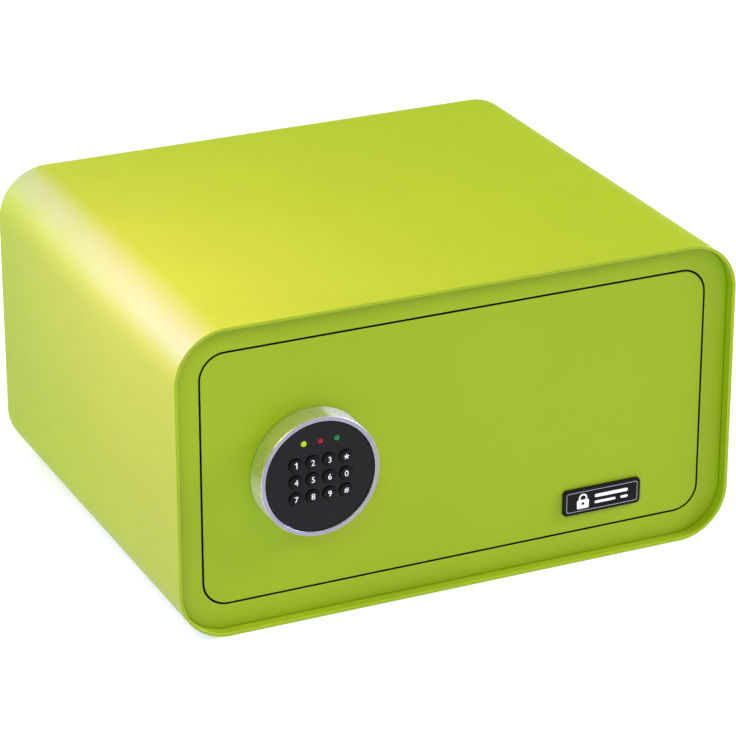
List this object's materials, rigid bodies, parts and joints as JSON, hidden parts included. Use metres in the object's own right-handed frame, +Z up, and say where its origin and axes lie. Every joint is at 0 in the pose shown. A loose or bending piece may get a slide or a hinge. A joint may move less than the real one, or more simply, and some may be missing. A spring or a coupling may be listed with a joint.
{
  "type": "gun safe",
  "caption": "Compact steel safe with rounded edges, a flush swinging door, a round push-button keypad, motor-driven bolts, and an emergency key lock.",
  "frame": {"origin": "on the underside of the shell, midway across the width and midway along the whole depth, which runs from the tips of the keys to the back of the shell", "axes": "+X is right as seen from the front, -Y is the front, +Z is up"},
  "size_m": [0.43, 0.36, 0.23],
  "materials": {
    "green_powder_coat": "satin lime-green powder coat",
    "chrome": "polished",
    "zinc_steel": "zinc plated",
    "brass": "machined",
    "black_plastic": "fine satin",
    "cover_plastic": "textured",
    "grey_silicone": "matte",
    "felt": "needled felt",
    "circuit_board": "solder mask",
    "battery": "printed sleeve",
    "led_yellow": "clear tinted",
    "led_red": "clear tinted",
    "led_green": "clear tinted",
    "black_rubber": "matte seal strip",
    "red_plastic": "gloss"
  },
  "bodies": {
    "cabinet": {"outer_shell": "green_powder_coat", "front_frame": "green_powder_coat", "rear_panel": "green_powder_coat", "strike_channel": "zinc_steel", "floor_mat": "felt", "anchor_plug_left": "black_plastic", "anchor_plug_right": "black_plastic", "door_stop_upper": "black_rubber", "door_stop_lower": "black_rubber", "hinge_bracket_upper": "green_powder_coat", "hinge_bracket_lower": "green_powder_coat"},
    "door": {"door_panel": "green_powder_coat", "hinge_stile": "green_powder_coat", "hinge_pin_upper": "zinc_steel", "hinge_pin_lower": "zinc_steel", "badge_plate": "black_plastic", "keypad_mount": "black_plastic", "lock_chassis": "zinc_steel", "gearbox": "black_plastic", "motor": "zinc_steel", "control_board": "circuit_board", "keypad_cable": "black_plastic", "emergency_lock_body": "chrome", "emergency_lock_nut": "zinc_steel", "battery_box": "black_plastic", "battery_1": "battery", "battery_2": "battery", "battery_3": "battery", "battery_4": "battery", "inner_cover": "cover_plastic", "reset_switch": "black_plastic"},
    "bolts": {"bolt_carriage": "zinc_steel", "bolt_upper": "chrome", "bolt_lower": "chrome"},
    "pinion": {"drive_pinion": "brass"},
    "emergency_lock": {"emergency_lock_plug": "chrome", "emergency_cam": "zinc_steel"},
    "keypad": {"keypad_ring": "chrome", "keypad_face": "black_plastic", "keypad_mat": "grey_silicone", "keypad_board": "circuit_board", "led_yellow": "led_yellow", "led_red": "led_red", "led_green": "led_green"},
    "battery_lid": {"battery_lid": "cover_plastic"},
    "reset_button": {"reset_button": "red_plastic"},
    "key_1": {"key_1": "black_plastic"},
    "key_2": {"key_2": "black_plastic"},
    "key_3": {"key_3": "black_plastic"},
    "key_star": {"key_star": "black_plastic"},
    "key_4": {"key_4": "black_plastic"},
    "key_5": {"key_5": "black_plastic"},
    "key_6": {"key_6": "black_plastic"},
    "key_0": {"key_0": "black_plastic"},
    "key_7": {"key_7": "black_plastic"},
    "key_8": {"key_8": "black_plastic"},
    "key_9": {"key_9": "black_plastic"},
    "key_hash": {"key_hash": "black_plastic"}
  },
  "joints": [
    {"name": "door_hinge", "type": "hinge", "parent": "cabinet", "child": "door", "pos_m": [0.167, -0.154, 0.115], "axis": [0, 0, 1], "range_deg": [0, 105]},
    {"name": "bolt_slide", "type": "slide", "parent": "door", "child": "bolts", "axis": [1, 0, 0], "range_m": [-0.016, 0]},
    {"name": "pinion_spin", "type": "hinge", "parent": "door", "child": "pinion", "pos_m": [-0.08, -0.162, 0.1455], "axis": [0, 1, 0], "range_deg": [0, 122.3]},
    {"name": "emergency_key_turn", "type": "hinge", "parent": "door", "child": "emergency_lock", "pos_m": [-0.1131, -0.162, 0.1125], "axis": [0, 1, 0], "range_deg": [0, 90]},
    {"name": "keypad_pull_off", "type": "slide", "parent": "door", "child": "keypad", "axis": [0, -1, 0], "range_m": [0, 0.035]},
    {"name": "battery_lid_lift", "type": "slide", "parent": "door", "child": "battery_lid", "axis": [0, 1, 0], "range_m": [0, 0.03]},
    {"name": "reset_button_press", "type": "slide", "parent": "door", "child": "reset_button", "axis": [0, -1, 0], "range_m": [0, 0.0015], "stiffness_N_per_m": 300},
    {"name": "key_1_press", "type": "slide", "parent": "keypad", "child": "key_1", "axis": [0, 1, 0], "range_m": [0, 0.001], "stiffness_N_per_m": 300},
    {"name": "key_2_press", "type": "slide", "parent": "keypad", "child": "key_2", "axis": [0, 1, 0], "range_m": [0, 0.001], "stiffness_N_per_m": 300},
    {"name": "key_3_press", "type": "slide", "parent": "keypad", "child": "key_3", "axis": [0, 1, 0], "range_m": [0, 0.001], "stiffness_N_per_m": 300},
    {"name": "key_star_press", "type": "slide", "parent": "keypad", "child": "key_star", "axis": [0, 1, 0], "range_m": [0, 0.001], "stiffness_N_per_m": 300},
    {"name": "key_4_press", "type": "slide", "parent": "keypad", "child": "key_4", "axis": [0, 1, 0], "range_m": [0, 0.001], "stiffness_N_per_m": 300},
    {"name": "key_5_press", "type": "slide", "parent": "keypad", "child": "key_5", "axis": [0, 1, 0], "range_m": [0, 0.001], "stiffness_N_per_m": 300},
    {"name": "key_6_press", "type": "slide", "parent": "keypad", "child": "key_6", "axis": [0, 1, 0], "range_m": [0, 0.001], "stiffness_N_per_m": 300},
    {"name": "key_0_press", "type": "slide", "parent": "keypad", "child": "key_0", "axis": [0, 1, 0], "range_m": [0, 0.001], "stiffness_N_per_m": 300},
    {"name": "key_7_press", "type": "slide", "parent": "keypad", "child": "key_7", "axis": [0, 1, 0], "range_m": [0, 0.001], "stiffness_N_per_m": 300},
    {"name": "key_8_press", "type": "slide", "parent": "keypad", "child": "key_8", "axis": [0, 1, 0], "range_m": [0, 0.001], "stiffness_N_per_m": 300},
    {"name": "key_9_press", "type": "slide", "parent": "keypad", "child": "key_9", "axis": [0, 1, 0], "range_m": [0, 0.001], "stiffness_N_per_m": 300},
    {"name": "key_hash_press", "type": "slide", "parent": "keypad", "child": "key_hash", "axis": [0, 1, 0], "range_m": [0, 0.001], "stiffness_N_per_m": 300}
  ],
  "couplings": [
    {"joint": "pinion_spin", "follows": "bolt_slide", "rad_per_m": -133.33}
  ]
}
